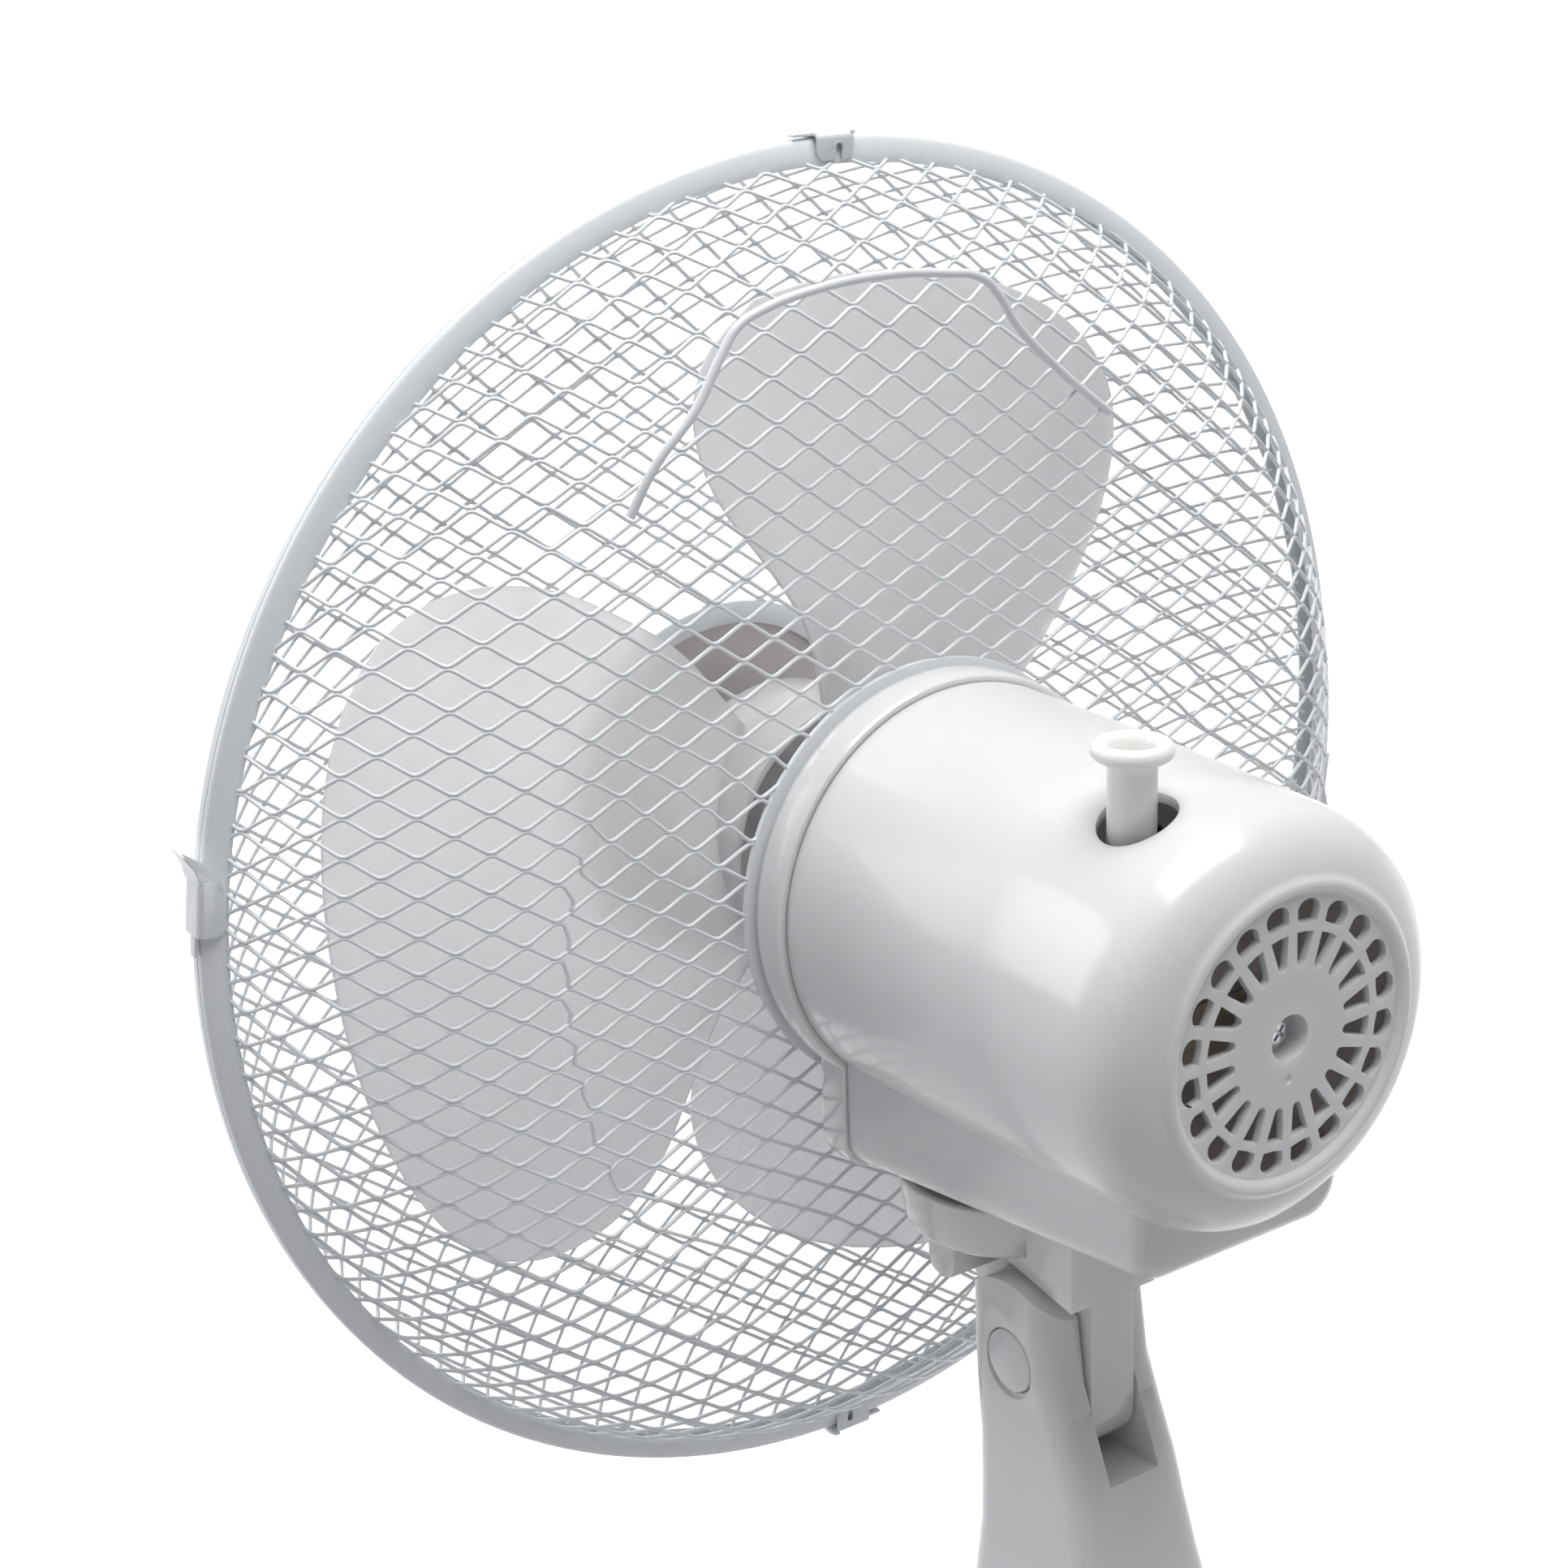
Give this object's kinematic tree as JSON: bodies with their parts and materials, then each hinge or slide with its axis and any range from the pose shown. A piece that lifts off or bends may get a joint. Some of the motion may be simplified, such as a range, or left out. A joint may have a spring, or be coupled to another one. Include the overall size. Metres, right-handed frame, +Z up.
{
  "type": "pedestal fan",
  "caption": "White pedestal fan with an expanded-mesh grille, wire handle, vented motor casing, tilting and oscillating neck, and a flared column on a round base.",
  "frame": {"origin": "centre of the box round the fan, at the floor plane under its rubber feet", "axes": "+Z up; the fan blows along -Y; +X is to the right when looking along +Y"},
  "size_m": [0.3552, 0.2423, 0.503],
  "materials": {
    "casing": "glossy cool white moulded plastic",
    "grille": "white enamel on steel",
    "blade": "satin, slightly translucent off-white",
    "knob": "warm white, smooth",
    "plate": "bare satin aluminium",
    "steel": "plain zinc plated steel",
    "lamination": "stacked dark laminations",
    "copper": "varnished copper winding",
    "brass": "turned brass",
    "gear": "greased cream nylon",
    "board": "black moulding",
    "rubber": "dark rubber"
  },
  "bodies": {
    "base": {"column": "casing", "base_cover": "casing", "base_plate": "casing", "foot_1": "rubber", "foot_2": "rubber", "foot_3": "rubber", "foot_4": "rubber", "switch_block": "board", "cord_gland": "board", "tilt_bolt": "steel", "tilt_nut": "steel", "pivot_cap_right": "casing", "pivot_cap_left": "casing"},
    "neck": {"neck_bracket": "casing"},
    "head": {"rear_grille": "grille", "rear_rim_ring": "grille", "front_grille": "grille", "front_rim_ring": "grille", "front_badge_plate": "plate", "grille_clip_1": "grille", "grille_clip_2": "grille", "grille_clip_3": "grille", "grille_clip_4": "grille", "grille_handle": "grille", "motor_stator": "lamination", "winding_front": "copper", "winding_rear": "copper", "front_end_bracket": "steel", "rear_end_bracket": "steel", "front_bearing": "brass", "rear_bearing": "brass", "motor_front_cover": "casing", "motor_rear_cover": "casing", "rear_cover_screw": "steel", "grille_lock_nut": "casing", "gearbox_housing": "gear", "gearbox_cover": "steel", "motor_yoke": "steel", "swivel_pin": "steel"},
    "rotor": {"fan_blade": "blade", "blade_nut": "casing", "motor_shaft": "steel", "motor_rotor": "lamination", "oscillation_worm": "brass"},
    "wheel": {"worm_wheel": "gear"},
    "crank": {"crank_spindle": "steel"},
    "link": {"link_rod": "steel"},
    "knob": {"oscillation_knob": "knob"},
    "key_1": {"speed_key_1": "knob"},
    "key_2": {"speed_key_2": "knob"},
    "key_3": {"speed_key_3": "knob"},
    "key_4": {"speed_key_4": "knob"}
  },
  "joints": [
    {"name": "neck_tilt", "type": "hinge", "parent": "base", "child": "neck", "pos_m": [0, 0.023, 0.2145], "axis": [1, 0, 0], "range_deg": [-20, 10]},
    {"name": "head_swivel", "type": "hinge", "parent": "neck", "child": "head", "pos_m": [0, 0.002, 0.258], "axis": [0, 0, 1], "range_deg": [-35, 35]},
    {"name": "blade_spin", "type": "hinge", "parent": "head", "child": "rotor", "pos_m": [0, -0.067, 0.322], "axis": [0, 1, 0], "continuous": true},
    {"name": "wheel_turn", "type": "hinge", "parent": "head", "child": "wheel", "pos_m": [0.0185, 0.0675, 0.322], "axis": [0, 0, 1], "continuous": true},
    {"name": "crank_turn", "type": "hinge", "parent": "head", "child": "crank", "pos_m": [0.0185, 0.0675, 0.322], "axis": [0, 0, 1], "range_deg": [-46, 46]},
    {"name": "link_turn", "type": "hinge", "parent": "crank", "child": "link", "pos_m": [0.0116, 0.06631, 0.272], "axis": [0, 0, 1], "range_deg": [-45, 45]},
    {"name": "knob_slide", "type": "slide", "parent": "crank", "child": "knob", "axis": [0, 0, 1], "range_m": [-0.008, 0]},
    {"name": "key_1_press", "type": "slide", "parent": "base", "child": "key_1", "axis": [0, 0, 1], "range_m": [-0.004, 0], "stiffness_N_per_m": 300, "springref_m": 0.001},
    {"name": "key_2_press", "type": "slide", "parent": "base", "child": "key_2", "axis": [0, 0, 1], "range_m": [-0.004, 0], "stiffness_N_per_m": 300, "springref_m": 0.001},
    {"name": "key_3_press", "type": "slide", "parent": "base", "child": "key_3", "axis": [0, 0, 1], "range_m": [-0.004, 0], "stiffness_N_per_m": 300, "springref_m": 0.001},
    {"name": "key_4_press", "type": "slide", "parent": "base", "child": "key_4", "axis": [0, 0, 1], "range_m": [-0.004, 0], "stiffness_N_per_m": 300, "springref_m": 0.001}
  ],
  "couplings": [
    {"joint": "wheel_turn", "follows": "blade_spin", "ratio": 0.027778},
    {"joint": "crank_turn", "follows": "head_swivel", "ratio": -1.288},
    {"joint": "link_turn", "follows": "head_swivel", "ratio": 1.2607}
  ]
}
